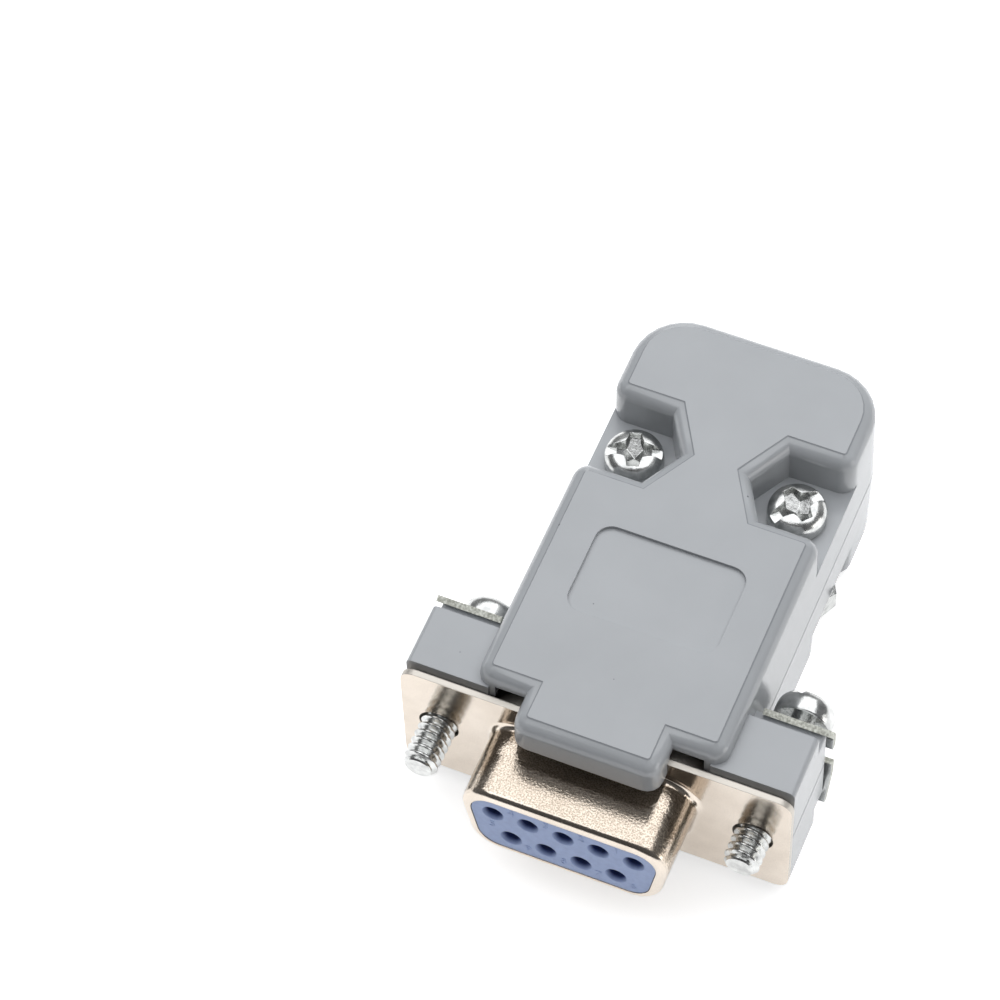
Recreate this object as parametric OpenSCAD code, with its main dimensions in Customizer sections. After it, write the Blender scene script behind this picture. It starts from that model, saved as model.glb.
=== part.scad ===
// Nine-way D-sub socket with solder cups, closed in a two-piece plastic cable hood.
// Millimetres. The origin is the centre of the flange's front face.
// X runs across the contacts, Y runs back along the cable and Z is up.

/* [Connector] */
// Spacing of neighbouring contacts in a row
contact_pitch = 2.77; // [2.7:0.01:2.84]
// Spacing of the two rows of contacts
row_pitch = 2.84; // [2.76:0.01:2.92]
// Width of the mounting flange
flange_w = 30.8; // [30.4:0.1:31.2]
// Height of the mounting flange
flange_h = 12.5; // [12.2:0.1:12.7]
// Corner radius of the mounting flange
flange_corner = 1.2; // [0.8:0.1:1.6]
// Distance of a jackscrew from the flange's end
hole_edge = 2.905; // [2.8:0.005:3]
// Width of the keystone nose over its metal
nose_w = 16.33; // [16:0.01:16.5]
// Height of the keystone nose over its metal
nose_h = 7.9; // [7.7:0.05:8.1]
// Reach of the nose in front of the flange
nose_len = 6.12; // [5.9:0.01:6.3]
// Corner radius of the keystone outline
nose_corner = 2.6; // [2.4:0.1:2.7]
// Slope of the keystone's two sides, in degrees
key_slope = 10; // [8:1:12]
// Sheet thickness of the front shell
sheet = 0.5; // [0.4:0.05:0.55]
// Sheet thickness of the rear shell
rear_sheet = 0.35; // [0.3:0.05:0.4]
// Depth of the rear shell behind the flange
skirt_len = 5.2; // [4.8:0.1:5.6]
// Growth of the rear shell over the nose outline
skirt_grow = 1.45; // [1.35:0.05:1.5]
// Width of the rolled lip round the nose's opening
lip_open = 0.85; // [0.8:0.05:0.95]
// Inner bend radius of the rolled lip
lip_in = 0.15; // [0.1:0.05:0.2]
// Bend radius between the nose and the flange
root_r = 0.5; // [0.4:0.05:0.6]

/* [Contacts] */
// Outer diameter of a contact's socket barrel
barrel_d = 1.8; // [1.7:0.05:1.9]
// Diameter of the pin that a contact takes
pin_d = 1.02; // [1:0.01:1.05]
// Diameter of the collar that holds a contact
collar_d = 2.3; // [2.2:0.05:2.4]
// Outer diameter of a solder cup
cup_d = 1.9; // [1.8:0.05:1.95]
// Wire hole of a solder cup
cup_bore = 1.3; // [1.1:0.05:1.4]
// End of the solder cups behind the flange
cup_end = 11.2; // [10.6:0.1:12]
// Length of the collar that holds a contact
collar_len = 0.8; // [0.7:0.05:0.9]
// Clearance of a pin in its entry hole
entry_gap = 0.12; // [0.08:0.01:0.15]
// Wall in front of the contact chambers
entry_wall = 0.9; // [0.8:0.05:1]
// Depth of the lead-in cones
lead_in = 0.36; // [0.3:0.02:0.4]
// Joint of the two insulators behind the flange
block_split = 2.6; // [2.4:0.1:2.8]

/* [Hood] */
// Width of the hood's body at the parting line
hood_w = 19.8; // [19.6:0.1:20.4]
// Height over both halves of the hood
hood_h = 16.5; // [16.2:0.1:17]
// Rear face of the hood behind the flange
hood_rear = 36.4; // [35.8:0.1:38]
// Radius of the rounded outer edges
edge_r = 1.2; // [1:0.1:1.3]
// Height of the fine step between the rounded edges and the flat faces
crease = 0.06; // [0.04:0.01:0.1]
// Draft of the moulded walls, in degrees
draft = 1.1; // [0.6:0.1:1.5]
// Plan radius of the two rear corners
rear_corner = 4.3; // [3.6:0.1:5]
// Wall thickness of the hood
wall = 1.5; // [1.3:0.1:1.6]
// Width of the tongue over the nose
tongue_w = 11.5; // [10.6:0.1:12]
// Reach of the tongue in front of the flange
tongue_reach = 2.1; // [1.8:0.1:2.4]
// Height of the tongue's underside above the centre
tongue_z = 5.2; // [5:0.1:5.4]
// Step from the flange's end in to a jackscrew ear's side
ear_inset = 0.15; // [0.05:0.05:0.3]
// Half height of the jackscrew ears
ear_z = 6.6; // [6.4:0.1:6.9]
// Rear step of the ears behind the flange
ear_step = 5.9; // [5.7:0.1:6.2]
// Half height of the neck that a clip wraps
neck_z = 4.5; // [4.3:0.1:4.7]
// Distance of the closing screws from the centre line
pocket_x = 6.6; // [6.4:0.1:6.8]
// Distance of the closing screws behind the flange
pocket_y = 24.4; // [23.8:0.1:25]
// Height of the pocket floors above the parting line
pocket_z = 4.3; // [4:0.1:4.5]
// Width of the shallow label field
label_w = 11.9; // [11:0.1:12.4]
// Length of the shallow label field
label_len = 7.8; // [7:0.1:8.2]
// Middle of the label field behind the flange
label_y = 12.4; // [12:0.1:12.8]
// Depth of the label field
label_deep = 0.3; // [0.2:0.05:0.4]

/* [Cable entry] */
// Bore of the cable entry
entry_bore = 6.8; // [6:0.1:7]
// Outer diameter of the cable spout
spout_d = 9; // [8.6:0.1:9.6]
// Reach of the spout behind the hood
spout_len = 1.2; // [0.8:0.1:2]
// Sheet thickness of the cable saddles
saddle_t = 0.8; // [0.6:0.1:0.9]
// Width of the cable saddles along the cable
saddle_w = 4; // [3.4:0.1:4.2]
// Clearance between the two saddles at their wings
saddle_gap = 1.6; // [1.4:0.1:2]
// Thread diameter of the saddle screws
clamp_d = 2; // [1.8:0.1:2]
// Head diameter of the saddle screws
clamp_head_d = 3.4; // [3.2:0.1:3.6]
// Head height of the saddle screws
clamp_head_h = 1.5; // [1.3:0.1:1.6]
// Length of a saddle screw under its head
clamp_len = 6; // [5.6:0.1:6.2]
// Distance of a saddle screw from the wing's end
clamp_inset = 2.25; // [2.1:0.05:2.3]

/* [Jackscrews] */
// Thread diameter of the jackscrews
jack_d = 2.84; // [2.7:0.01:2.9]
// Length of a jackscrew under its head
jack_len = 12.85; // [12.45:0.1:13.45]
// Length of the full thread at a jackscrew's end
jack_thread = 2.6; // [2.2:0.1:2.6]
// Diameter of the shank behind the full thread
jack_shank_d = 2.45; // [2.4:0.01:2.5]
// Head diameter of the jackscrews
jack_head_d = 4.6; // [4.4:0.1:4.8]
// Head height of the jackscrews
jack_head_h = 2.2; // [2:0.1:2.4]
// Diameter of the reduced shank under the head
jack_waist_d = 1.9; // [1.8:0.05:1.95]
// Axial play of a jackscrew in its clip
jack_play = 1.2; // [1:0.1:1.4]
// Sheet thickness of the retaining clips
clip_t = 0.7; // [0.6:0.05:0.8]
// Width of the retaining clips
clip_w = 5.2; // [4.8:0.1:5.3]
// Reach of a clip beyond the ear's side
clip_over = 0.35; // [0.2:0.05:0.5]
// Outer bend radius of the retaining clips
clip_bend = 1; // [0.9:0.05:1.2]
// Straight length of a clip's legs in front of the bend
clip_leg = 0.1; // [0.05:0.05:0.3]
// Rear face of a clip's web behind the flange
clip_rear = 8.85; // [8.75:0.05:9.15]
// Play of a clip along its neck
clip_play = 0.28; // [0.2:0.02:0.4]

/* [Closing screws] */
// Thread diameter of the closing screws
close_d = 2.84; // [2.6:0.01:2.9]
// Length of a closing screw under its head
close_len = 12; // [11.4:0.1:12.2]
// Head diameter of the closing screws
close_head_d = 4.6; // [4.4:0.1:5]
// Head height of the closing screws
close_head_h = 2.1; // [1.9:0.1:2.3]
// Width across the flats of the nuts
nut_af = 6.2; // [6:0.05:6.3]
// Thickness of the nuts
nut_t = 2.38; // [2.2:0.02:2.5]

/* [Fits] */
// Clearance of a sliding or captive fit
slide_gap = 0.05; // [0.03:0.01:0.08]
// Radial clearance of a screw in its hole
hole_gap = 0.18; // [0.15:0.01:0.22]
// Clearance of a nut in its pocket
nut_gap = 0.1; // [0.08:0.01:0.15]
// Clearance around a jackscrew's turning head
head_gap = 0.28; // [0.25:0.01:0.3]

/* [Hidden] */
$fn = 48;
eps = 0.01;
key_top_x = nose_w / 2 - nose_corner;
key_z = nose_h / 2 - nose_corner;
key_low_x = key_top_x - 2 * key_z * tan(key_slope);
lip_r = sheet + lip_in;
stack = sheet + rear_sheet;
skirt_in = skirt_grow - rear_sheet;
jack_x = flange_w / 2 - hole_edge;
ear_x = flange_w / 2 - ear_inset;
jack_hole_d = jack_d + 2 * hole_gap;
close_hole_d = close_d + 2 * hole_gap;
hood_top = hood_h / 2;
slope = tan(draft);
hood_front = stack + slide_gap;
rim_z = hood_top - edge_r;
core_w = hood_w / 2 - edge_r - slope * rim_z;
core_front = hood_front + edge_r + slope * rim_z;
core_rear = hood_rear - edge_r - slope * rim_z;
core_corner = rear_corner - edge_r;
core_tongue = tongue_w / 2 - edge_r;
core_tip = edge_r - tongue_reach;
pocket_af = nut_af + 2 * nut_gap;
core_af = pocket_af + 2 * (edge_r + slope * (rim_z - pocket_z));
core_hex = core_af / sqrt(3);
part_bevel = 0.1;
room_z = hood_top - wall;
room_w = hood_w / 2 - wall;
room_rear = hood_rear - wall;
room_front = skirt_len + 0.2;
clip_z = neck_z + slide_gap + clip_t;
clip_x = ear_x + clip_over - clip_w;
neck_rear = clip_rear - clip_bend - clip_play;
head_y = clip_rear + slide_gap;
head_end = head_y + 2 * jack_play + jack_head_h;
saddle_y = pocket_y + pocket_af / 2 + wall + slide_gap;
saddle_x = room_w - 0.3;
wing_z = saddle_gap / 2 + saddle_t;
saddle_in = entry_bore / 2 + 0.1;
ledge = 0.6;
clamp_x = saddle_x - clamp_inset;
contact_row = [for (i = [0:8]) i < 5
    ? [(2 - i) * contact_pitch, row_pitch / 2]
    : [(6.5 - i) * contact_pitch, -row_pitch / 2]];

// Points along an arc
function arc(c, r, a0, a1, n) = [for (i = [0:n])
    c + r * [cos(a0 + (a1 - a0) * i / n), sin(a0 + (a1 - a0) * i / n)]];

// Rectangle with rounded corners, centred
function round_box(w, h, r, n = 6) = concat(
    arc([w / 2 - r, -h / 2 + r], r, -90, 0, n), arc([w / 2 - r, h / 2 - r], r, 0, 90, n),
    arc([-w / 2 + r, h / 2 - r], r, 90, 180, n), arc([-w / 2 + r, -h / 2 + r], r, 180, 270, n));

// Keystone outline of the connector, grown outward by d
function key_ring(d) = concat(
    arc([key_top_x, key_z], nose_corner + d, -key_slope, 90, 7),
    arc([-key_top_x, key_z], nose_corner + d, 90, 180 + key_slope, 7),
    arc([-key_low_x, -key_z], nose_corner + d, 180 + key_slope, 270, 6),
    arc([key_low_x, -key_z], nose_corner + d, 270, 360 - key_slope, 6));

// Right half of the hood's outline, grown by d from the flat inside its rounded edge.
// Where the tongue or the pockets are left out, their points lie on the plain front and side.
function half_ring(d, tongue, pockets) = let (
    front = [[core_tongue, core_tip], [core_tongue, core_front], [core_w, core_front]],
    y0 = pocket_y - core_af / 2,
    y1 = pocket_y + core_af / 2,
    tip = arc(front[0], d, -90, 0, 4),
    flat = [for (k = [0:4]) [core_tongue / 2 + (core_tongue / 2 + d) * k / 5, core_front - d]],
    side = [for (k = [0:12]) [core_w + d, y0 + (y1 - y0) * k / 12]],
    hex = concat(arc([core_w, y0], d, 0, 90, 4),
        [[pocket_x - core_hex / 2 + d * tan(30), y0 + d], [pocket_x - core_hex + d / cos(30), pocket_y],
            [pocket_x - core_hex / 2 + d * tan(30), y1 - d]],
        arc([core_w, y1], d, -90, 0, 4)))
    concat(tongue ? tip : flat, [[core_tongue + d, core_front - d]],
        arc(front[2], d, -90, 0, 4), pockets ? hex : side,
        arc([core_w - core_corner, core_rear - core_corner], core_corner + d, 0, 90, 7));
function mirrored(half) = concat(half, [for (i = [len(half) - 1:-1:0]) [-half[i][0], half[i][1]]]);
function wall_grow(z) = edge_r + slope * (rim_z - z);
function distinct(f) = [for (i = [0:len(f) - 1]) if (f[i] != f[(i + 1) % len(f)]) f[i]];

// Outer form of one half: outlines stacked at [height, growth, tongue, pockets].
// A step between two outlines at one height makes a flat floor or underside.
module hood_form(levels) {
    rings = [for (l = levels) mirrored(half_ring(l[1], l[2], l[3]))];
    n = len(rings[0]);
    m = len(levels);
    mid = n / 2 - 1;
    index = [for (j = [0:m - 1]) [for (i = [0:n - 1])
        j > 0 && levels[j][0] == levels[max(j - 1, 0)][0] && norm(rings[j][i] - rings[max(j - 1, 0)][i]) < eps
            ? (j - 1) * n + i : j * n + i]];
    sides = [for (j = [0:m - 2]) for (i = [0:n - 1]) let (k = (i + 1) % n)
        distinct([index[j][i], index[j + 1][i], index[j + 1][k], index[j][k]])];
    // the flat top is fanned from two points on the centre line, either side of the pockets' inner corners
    inner = [for (i = [0:mid]) if (abs(rings[m - 1][i][1] - pocket_y) < eps) i][0];
    ahead = m * n;
    behind = m * n + 1;
    far = n - 1 - inner;
    base = (m - 1) * n;
    top = concat([for (i = [0:n - 1])
        [base + (i + 1) % n, base + i, i < inner || i >= far ? ahead : behind]],
        [[ahead, behind, base + inner], [behind, ahead, base + far]]);
    height = levels[m - 1][0];
    polyhedron(concat([for (j = [0:m - 1]) for (q = rings[j]) [q[0], q[1], levels[j][0]]],
        [[0, label_y, height], [0, core_rear - core_corner, height]]),
        concat([for (i = [0:n - 1]) if (i != mid && i != mid - 1) [mid, i, (i + 1) % n]],
            top, [for (f = sides) if (len(f) > 2) f]));
}

// Closed section of growth and depth, carried round the keystone outline
module key_sweep(section) {
    rings = [for (p = section) key_ring(p[0])];
    n = len(rings[0]);
    m = len(section);
    polyhedron([for (j = [0:m - 1]) for (q = rings[j]) [q[0], section[j][1], q[1]]],
        [for (j = [0:m - 1]) for (i = [0:n - 1]) let (k = (j + 1) % m)
            [j * n + i, k * n + i, k * n + (i + 1) % n, j * n + (i + 1) % n]]);
}

// Profiles drawn in X and Z, run from y0 to y1
module along_y(y0, y1) {
    translate([0, y1, 0])
        rotate([90, 0, 0])
            linear_extrude(height = y1 - y0)
                children();
}

// Profiles drawn in Y and Z, run from x0 to x1
module along_x(x0, x1) {
    translate([x0, 0, 0])
        rotate([90, 0, 90])
            linear_extrude(height = x1 - x0)
                children();
}

// Round bar along Y
module rod_y(x, z, d, y0, y1) {
    translate([x, y1, z])
        rotate([90, 0, 0])
            cylinder(d = d, h = y1 - y0);
}

// Flange plate with the two jackscrew holes and a keystone opening
module flange_plate(w, h, grow, y0, y1) {
    along_y(y0, y1)
        difference() {
            polygon(round_box(w, h, flange_corner));
            polygon(key_ring(grow));
            for (s = [-1, 1])
                translate([s * jack_x, 0])
                    circle(d = jack_hole_d);
        }
}

// Drawn nose with its rolled lip, bent out of the flange in one sheet
module front_shell() {
    edge = root_r + 0.4;
    section = concat([[edge, 0]],
        arc([root_r, -root_r], root_r, 90, 180, 4),
        arc([-lip_r, lip_r - nose_len], lip_r, 0, -90, 5),
        [[-lip_open, -nose_len], [-lip_open, sheet - nose_len]],
        arc([-lip_r, lip_r - nose_len], lip_r - sheet, -90, 0, 3),
        arc([root_r, -root_r], root_r + sheet, 180, 90, 4),
        [[edge, sheet]]);
    color([0.86, 0.83, 0.79]) {
        key_sweep(section);
        flange_plate(flange_w, flange_h, root_r + 0.2, 0, sheet);
    }
}

// Rear shell: a plate and a skirt with an inward lip
module rear_shell() {
    y1 = stack;
    y2 = skirt_len;
    g = skirt_grow;
    section = concat([[skirt_in, sheet], [skirt_in, y2 - rear_sheet],
        [skirt_in - 0.6, y2 - rear_sheet], [skirt_in - 0.6, y2]],
        arc([g - 0.5, y2 - 0.5], 0.5, 90, 0, 4), [[g, sheet]]);
    color([0.8, 0.78, 0.74]) {
        key_sweep(section);
        flange_plate(flange_w - 0.4, nose_h + 2 * g + 0.5, skirt_in + 0.1, sheet, y1);
    }
}

// Front insulator: nose block, contact chambers and lead-in cones
module front_insulator() {
    face = -nose_len + slide_gap;
    lip_back = -nose_len + sheet + slide_gap;
    color([0.36, 0.46, 0.72])
        difference() {
            union() {
                along_y(face, 0)
                    polygon(key_ring(-lip_open - slide_gap));
                along_y(lip_back + lip_r - sheet, sheet)
                    polygon(key_ring(-sheet - slide_gap));
                along_y(sheet, block_split)
                    polygon(key_ring(skirt_in - slide_gap));
            }
            for (p = contact_row) {
                rod_y(p[0], p[1], pin_d + 2 * entry_gap, face - 1, block_split + 1);
                rod_y(p[0], p[1], barrel_d + 2 * slide_gap, face + entry_wall, block_split + 1);
                rod_y(p[0], p[1], collar_d + 2 * slide_gap, block_split - collar_len, block_split + 1);
                translate([p[0], face - eps, p[1]])
                    rotate([-90, 0, 0])
                        cylinder(d1 = pin_d + 2 * lead_in, d2 = pin_d + 2 * (entry_gap - eps), h = lead_in);
            }
        }
}

// Rear insulator: closes the chambers behind the collars
module rear_insulator() {
    lip = skirt_len - rear_sheet - slide_gap;
    color([0.33, 0.43, 0.69])
        difference() {
            union() {
                along_y(block_split, lip)
                    polygon(key_ring(skirt_in - slide_gap));
                along_y(lip - 1, skirt_len + 0.1)
                    polygon(key_ring(skirt_in - 0.6 - slide_gap));
            }
            for (p = contact_row)
                rod_y(p[0], p[1], cup_d + 2 * slide_gap, block_split - 1, skirt_len + 1);
        }
}

// Contact: slit socket barrel, collar and an open solder cup
module contact(i) {
    p = contact_row[i - 1];
    tip = -nose_len + entry_wall + 3 * slide_gap;
    open = p[1] > 0 ? 0 : -1;
    color([0.85, 0.72, 0.4])
        difference() {
            union() {
                rod_y(p[0], p[1], barrel_d, tip, block_split - collar_len / 2);
                rod_y(p[0], p[1], collar_d, block_split - collar_len + slide_gap, block_split);
                rod_y(p[0], p[1], cup_d, block_split - collar_len / 2, cup_end);
            }
            rod_y(p[0], p[1], pin_d + 0.04, tip - 1, 0.2);
            translate([p[0] - 0.12, tip - 1, p[1] - barrel_d])
                cube([0.24, 4.4, 2 * barrel_d]);
            rod_y(p[0], p[1], cup_bore, cup_end - 3.6, cup_end + 1);
            translate([p[0] - cup_d, cup_end - 2.8, p[1] + 0.1 + open * (cup_d + 0.2)])
                cube([2 * cup_d, 4, cup_d]);
        }
}

// Screw head with a domed top, a cross recess and a slot, facing +Z
module screw_head(d, h, angle) {
    rim = 0.55 * h;
    bow = 0.16 * d;
    rise = h - rim;
    difference() {
        rotate_extrude()
            polygon(concat([[0, 0], [d / 2 - 0.15, 0], [d / 2, 0.15], [d / 2, rim]],
                [for (k = [1:6]) [d / 2 - bow * (1 - cos(15 * k)), rim + rise * 0.72 * sin(15 * k)]],
                [[d / 4, h - 0.06 * rise], [0, h]]));
        rotate([0, 0, angle]) {
            translate([-d, -0.08 * d, h - 0.36 * h])
                cube([2 * d, 0.16 * d, h]);
            for (a = [0, 90])
                rotate([0, 0, a])
                    translate([-0.31 * d, -0.095 * d, h - 0.62 * h])
                        cube([0.62 * d, 0.19 * d, h]);
        }
    }
}

// Shank under a head, with a bevelled end
module shank(d, len) {
    bevel = 0.14 * d;
    rotate_extrude()
        polygon([[0, 0.2], [d / 2, 0.2], [d / 2, bevel - len], [d / 2 - bevel, -len], [0, -len]]);
}

// Captive jackscrew: head, reduced waist, shank and the full thread at its end
module jackscrew(side, draw, angle) {
    waist = clip_t + clip_play + jack_play + 0.15;
    bevel = 0.14 * jack_d;
    color([0.82, 0.82, 0.8])
        translate([side * jack_x, head_y + draw, 0])
            rotate([-90, 0, 0])
                union() {
                    screw_head(jack_head_d, jack_head_h, angle);
                    rotate_extrude()
                        polygon([[0, 0.2], [jack_waist_d / 2, 0.2], [jack_waist_d / 2, -waist],
                            [jack_shank_d / 2, -waist], [jack_shank_d / 2, jack_thread - jack_len],
                            [jack_d / 2, jack_thread - jack_len], [jack_d / 2, bevel - jack_len],
                            [jack_d / 2 - bevel, -jack_len], [0, -jack_len]]);
                }
}

// Bent sheet clip that wraps the neck, its open slot round the jackscrew's waist
module clip(side, shift) {
    slot = jack_waist_d + 2 * hole_gap;
    rear = clip_rear - shift;
    front = rear - clip_bend - clip_leg;
    bend_y = rear - clip_bend;
    bend_z = clip_z - clip_bend;
    inner_r = clip_bend - clip_t;
    outer = concat([[front, -clip_z]], arc([bend_y, -bend_z], clip_bend, -90, 0, 8),
        arc([bend_y, bend_z], clip_bend, 0, 90, 8), [[front, clip_z]]);
    inner = concat([[front - 1, clip_t - clip_z]], arc([bend_y, -bend_z], inner_r, -90, 0, 6),
        arc([bend_y, bend_z], inner_r, 0, 90, 6), [[front - 1, clip_z - clip_t]]);
    color([0.84, 0.85, 0.86])
        mirror([side < 0 ? 1 : 0, 0, 0])
            difference() {
                along_x(clip_x, clip_x + clip_w)
                    difference() {
                        polygon(outer);
                        polygon(inner);
                    }
                rod_y(jack_x, 0, slot, rear - 2 * clip_t, rear + 1);
                translate([jack_x, rear - 2 * clip_t, -slot / 2])
                    cube([clip_w, 2 * clip_t + 1, slot]);
            }
}

// Room for a clip between the body and the neck, drawn for the right side
module clip_room() {
    front = clip_rear - clip_bend - clip_leg - clip_play - slide_gap;
    top = clip_z + slide_gap;
    along_x(clip_x - slide_gap, clip_x + clip_w)
        difference() {
            translate([front, -top])
                square([clip_rear + slide_gap - front, 2 * top]);
            translate([front - 1, -neck_z])
                square([neck_rear - front + 1, 2 * neck_z]);
        }
}

// Ear and neck beside the body, drawn for the right side
module ear() {
    b = part_bevel;
    x0 = room_w + 0.3;
    along_y(hood_front, ear_step)
        polygon(concat([[x0, 0], [ear_x - b, 0], [ear_x, b]],
            arc([ear_x - 0.5, ear_z - 0.5], 0.5, 0, 90, 4), [[x0, ear_z]]));
    along_y(ear_step - 1, neck_rear)
        polygon(concat([[x0, 0], [ear_x - b, 0], [ear_x, b]],
            arc([ear_x - 0.4, neck_z - 0.4], 0.4, 0, 90, 3), [[x0, neck_z]]));
}

// Room for wires, less the pocket walls, screw posts and saddle ledges
module wire_room() {
    post_d = close_hole_d + 2 * wall;
    difference() {
        translate([0, (room_front - 0.5 + room_rear) / 2, -1])
            linear_extrude(height = room_z + 1)
                polygon(round_box(2 * room_w, room_rear - room_front + 0.5, 2.4));
        for (s = [-1, 1]) {
            translate([s * pocket_x, pocket_y, pocket_z - wall])
                cylinder(d = (pocket_af + 2 * wall) * 2 / sqrt(3), h = hood_h, $fn = 6);
            translate([s * pocket_x, pocket_y, 0])
                cylinder(d = post_d, h = hood_h);
            translate([s * room_w - ledge, saddle_y, wing_z])
                cube([2 * ledge, saddle_w, hood_h]);
        }
    }
}

// One moulded half, drawn as the upper one; both halves are the same moulding
module hood_half() {
    rim = [for (k = [0:5]) [rim_z + (edge_r - crease) * sin(15 * k), edge_r * cos(15 * k), true, true]];
    spout_r = spout_d / 2;
    difference() {
        union() {
            hood_form(concat([[0, wall_grow(0) - part_bevel, false, false],
                [part_bevel, wall_grow(part_bevel), false, false],
                [pocket_z, wall_grow(pocket_z), false, false],
                [pocket_z, wall_grow(pocket_z), false, true],
                [tongue_z, wall_grow(tongue_z), false, true],
                [tongue_z, wall_grow(tongue_z), true, true]],
                rim, [[hood_top, 0.17 * edge_r, true, true]]));
            ear();
            mirror([1, 0, 0])
                ear();
            rotate([-90, 0, 0])
                rotate([0, 0, 180])
                    rotate_extrude(angle = 180)
                        polygon(concat([[0, room_rear]], [[spout_r + 0.15, room_rear]],
                            [[spout_r + 0.15, hood_rear]],
                            arc([spout_r - 0.4, hood_rear + spout_len - 0.4], 0.4, 0, 90, 4),
                            [[0, hood_rear + spout_len]]));
        }
        wire_room();
        // seat of the flange and mouth for the rear shell
        along_y(-slide_gap, hood_front)
            square([flange_w + 1, flange_h + 0.3], center = true);
        along_y(hood_front - 0.5, room_front)
            polygon(round_box(nose_w + 2 * skirt_grow + 0.3, nose_h + 2 * skirt_grow + 0.3, 2));
        translate([-room_w + 0.2, hood_front - 0.5, -1])
            cube([2 * room_w - 0.4, 1.5, ear_z + 1.2]);
        // screw holes and cable bore
        for (s = [-1, 1]) {
            rod_y(s * jack_x, 0, jack_hole_d, hood_front - 1, neck_rear + 1);
            rod_y(s * jack_x, 0, jack_head_d + 2 * head_gap, neck_rear + slide_gap, head_end);
            mirror([s < 0 ? 1 : 0, 0, 0])
                clip_room();
            translate([s * pocket_x, pocket_y, -1])
                cylinder(d = close_hole_d, h = hood_top);
        }
        rod_y(0, 0, entry_bore, room_rear - 1, hood_rear + spout_len + 1);
        // label field
        translate([0, label_y, hood_top - label_deep])
            linear_extrude(height = 1)
                polygon(round_box(label_w, label_len, 1.3));
    }
}

module upper_hood() {
    color([0.66, 0.68, 0.7])
        hood_half();
}

module lower_hood() {
    color([0.66, 0.68, 0.7])
        rotate([0, 180, 0])
            hood_half();
}

// Closing screw, head up in its pocket
module closing_screw(side, angle) {
    color([0.84, 0.84, 0.83])
        translate([side * pocket_x, pocket_y, pocket_z])
            union() {
                screw_head(close_head_d, close_head_h, angle);
                shank(close_d, close_len);
            }
}

// Hexagon nut with bevelled corners, under the lower half
module nut(side) {
    color([0.8, 0.8, 0.78])
        translate([side * pocket_x, pocket_y, -pocket_z - nut_t])
            difference() {
                intersection() {
                    cylinder(d = nut_af * 2 / sqrt(3), h = nut_t, $fn = 6);
                    rotate_extrude()
                        polygon([[0, 0], [nut_af / 2 - 0.1, 0], [nut_af * 0.6, 0.35],
                            [nut_af * 0.6, nut_t - 0.35], [nut_af / 2 - 0.1, nut_t], [0, nut_t]]);
                }
                translate([0, 0, -1])
                    cylinder(d = close_d + 2 * slide_gap, h = nut_t + 2);
            }
}

// Arched strap that grips the cable, with two wings
module saddle(hole_d) {
    difference() {
        along_y(saddle_y, saddle_y + saddle_w)
            difference() {
                union() {
                    intersection() {
                        circle(r = saddle_in + saddle_t);
                        translate([-saddle_x, saddle_gap / 2])
                            square([2 * saddle_x, saddle_x]);
                    }
                    translate([-saddle_x, saddle_gap / 2])
                        square([2 * saddle_x, saddle_t]);
                }
                circle(r = saddle_in);
            }
        for (s = [-1, 1])
            translate([s * clamp_x, saddle_y + saddle_w / 2, 0])
                cylinder(d = hole_d, h = 2 * wing_z);
    }
}

module upper_saddle() {
    color([0.78, 0.79, 0.8])
        saddle(clamp_d + 0.3);
}

module lower_saddle() {
    color([0.78, 0.79, 0.8])
        rotate([0, 180, 0])
            saddle(clamp_d + 2 * slide_gap);
}

// Screw that draws the two saddles together
module saddle_screw(side) {
    color([0.82, 0.82, 0.8])
        translate([side * clamp_x, saddle_y + saddle_w / 2, wing_z])
            union() {
                screw_head(clamp_head_d, clamp_head_h, 40 * side);
                shank(clamp_d, clamp_len);
            }
}

front_shell();
rear_shell();
front_insulator();
rear_insulator();
contact(1);  // contact_1
contact(2);  // contact_2
contact(3);  // contact_3
contact(4);  // contact_4
contact(5);  // contact_5
contact(6);  // contact_6
contact(7);  // contact_7
contact(8);  // contact_8
contact(9);  // contact_9
upper_hood();
lower_hood();
clip(-1, 0);  // left_clip
clip(1, clip_play);  // right_clip
jackscrew(-1, 0, 20);  // left_jackscrew
jackscrew(1, jack_play, 65);  // right_jackscrew
closing_screw(-1, 17);  // left_closing_screw
closing_screw(1, 50);  // right_closing_screw
nut(-1);  // left_nut
nut(1);  // right_nut
upper_saddle();
lower_saddle();
saddle_screw(-1);  // left_saddle_screw
saddle_screw(1);  // right_saddle_screw
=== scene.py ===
import math

import bpy
from mathutils import Matrix, Vector


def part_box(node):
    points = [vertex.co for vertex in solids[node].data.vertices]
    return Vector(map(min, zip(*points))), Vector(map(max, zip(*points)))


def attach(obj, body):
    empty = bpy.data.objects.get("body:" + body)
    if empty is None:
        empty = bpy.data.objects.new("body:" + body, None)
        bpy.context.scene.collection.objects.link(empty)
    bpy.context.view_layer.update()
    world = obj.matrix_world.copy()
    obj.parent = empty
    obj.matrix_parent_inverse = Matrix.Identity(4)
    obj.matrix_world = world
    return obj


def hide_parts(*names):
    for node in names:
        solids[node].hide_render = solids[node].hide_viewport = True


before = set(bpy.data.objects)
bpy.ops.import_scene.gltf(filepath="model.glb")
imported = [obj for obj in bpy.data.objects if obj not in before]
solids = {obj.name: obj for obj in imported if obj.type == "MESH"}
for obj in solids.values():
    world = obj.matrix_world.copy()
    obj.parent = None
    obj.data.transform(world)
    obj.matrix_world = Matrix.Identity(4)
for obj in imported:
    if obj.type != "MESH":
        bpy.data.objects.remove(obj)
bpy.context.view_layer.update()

# Nine-way D-sub socket in a grey cable hood: finishes, screws with drive recesses and threads,
# bowed clips, contact numerals, studio and camera. Places come from the frame, and sizes are in
# millimetres unless a comment says otherwise.
MM = 0.001
insulator_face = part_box("front_insulator")[0][1]
hood_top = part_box("upper_hood")[1][2]

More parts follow.
